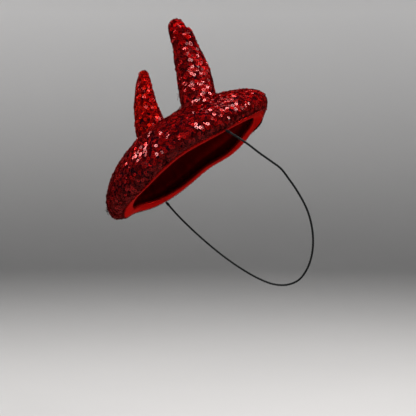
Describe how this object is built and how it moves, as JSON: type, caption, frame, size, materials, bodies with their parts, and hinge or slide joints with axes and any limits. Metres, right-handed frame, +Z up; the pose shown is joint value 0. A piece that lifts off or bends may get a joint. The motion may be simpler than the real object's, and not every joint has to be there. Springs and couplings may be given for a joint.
{
  "type": "beret fascinator",
  "caption": "Small red sequinned beret with padded horns and satin lining, worn tilted on the head and held by a round black elastic.",
  "frame": {"origin": "middle of the opening that the head goes into, level with the lowest line of the beret's edge", "axes": "+Z up as it is worn, -Y to the wearer's front, +X to the wearer's left; the beret is tilted in this frame as it is on the head"},
  "size_m": [0.173, 0.1814, 0.244],
  "materials": {
    "sequin_cloth": "red ring sequins on dark mesh",
    "satin": "smooth satin",
    "elastic": "braided round elastic"
  },
  "bodies": {
    "root": {"crown_top": "sequin_cloth", "crown_edge": "sequin_cloth", "underside_facing": "satin", "crown_lining": "satin", "horn_left": "sequin_cloth", "horn_right": "sequin_cloth", "elastic_cord": "elastic"}
  },
  "joints": []
}
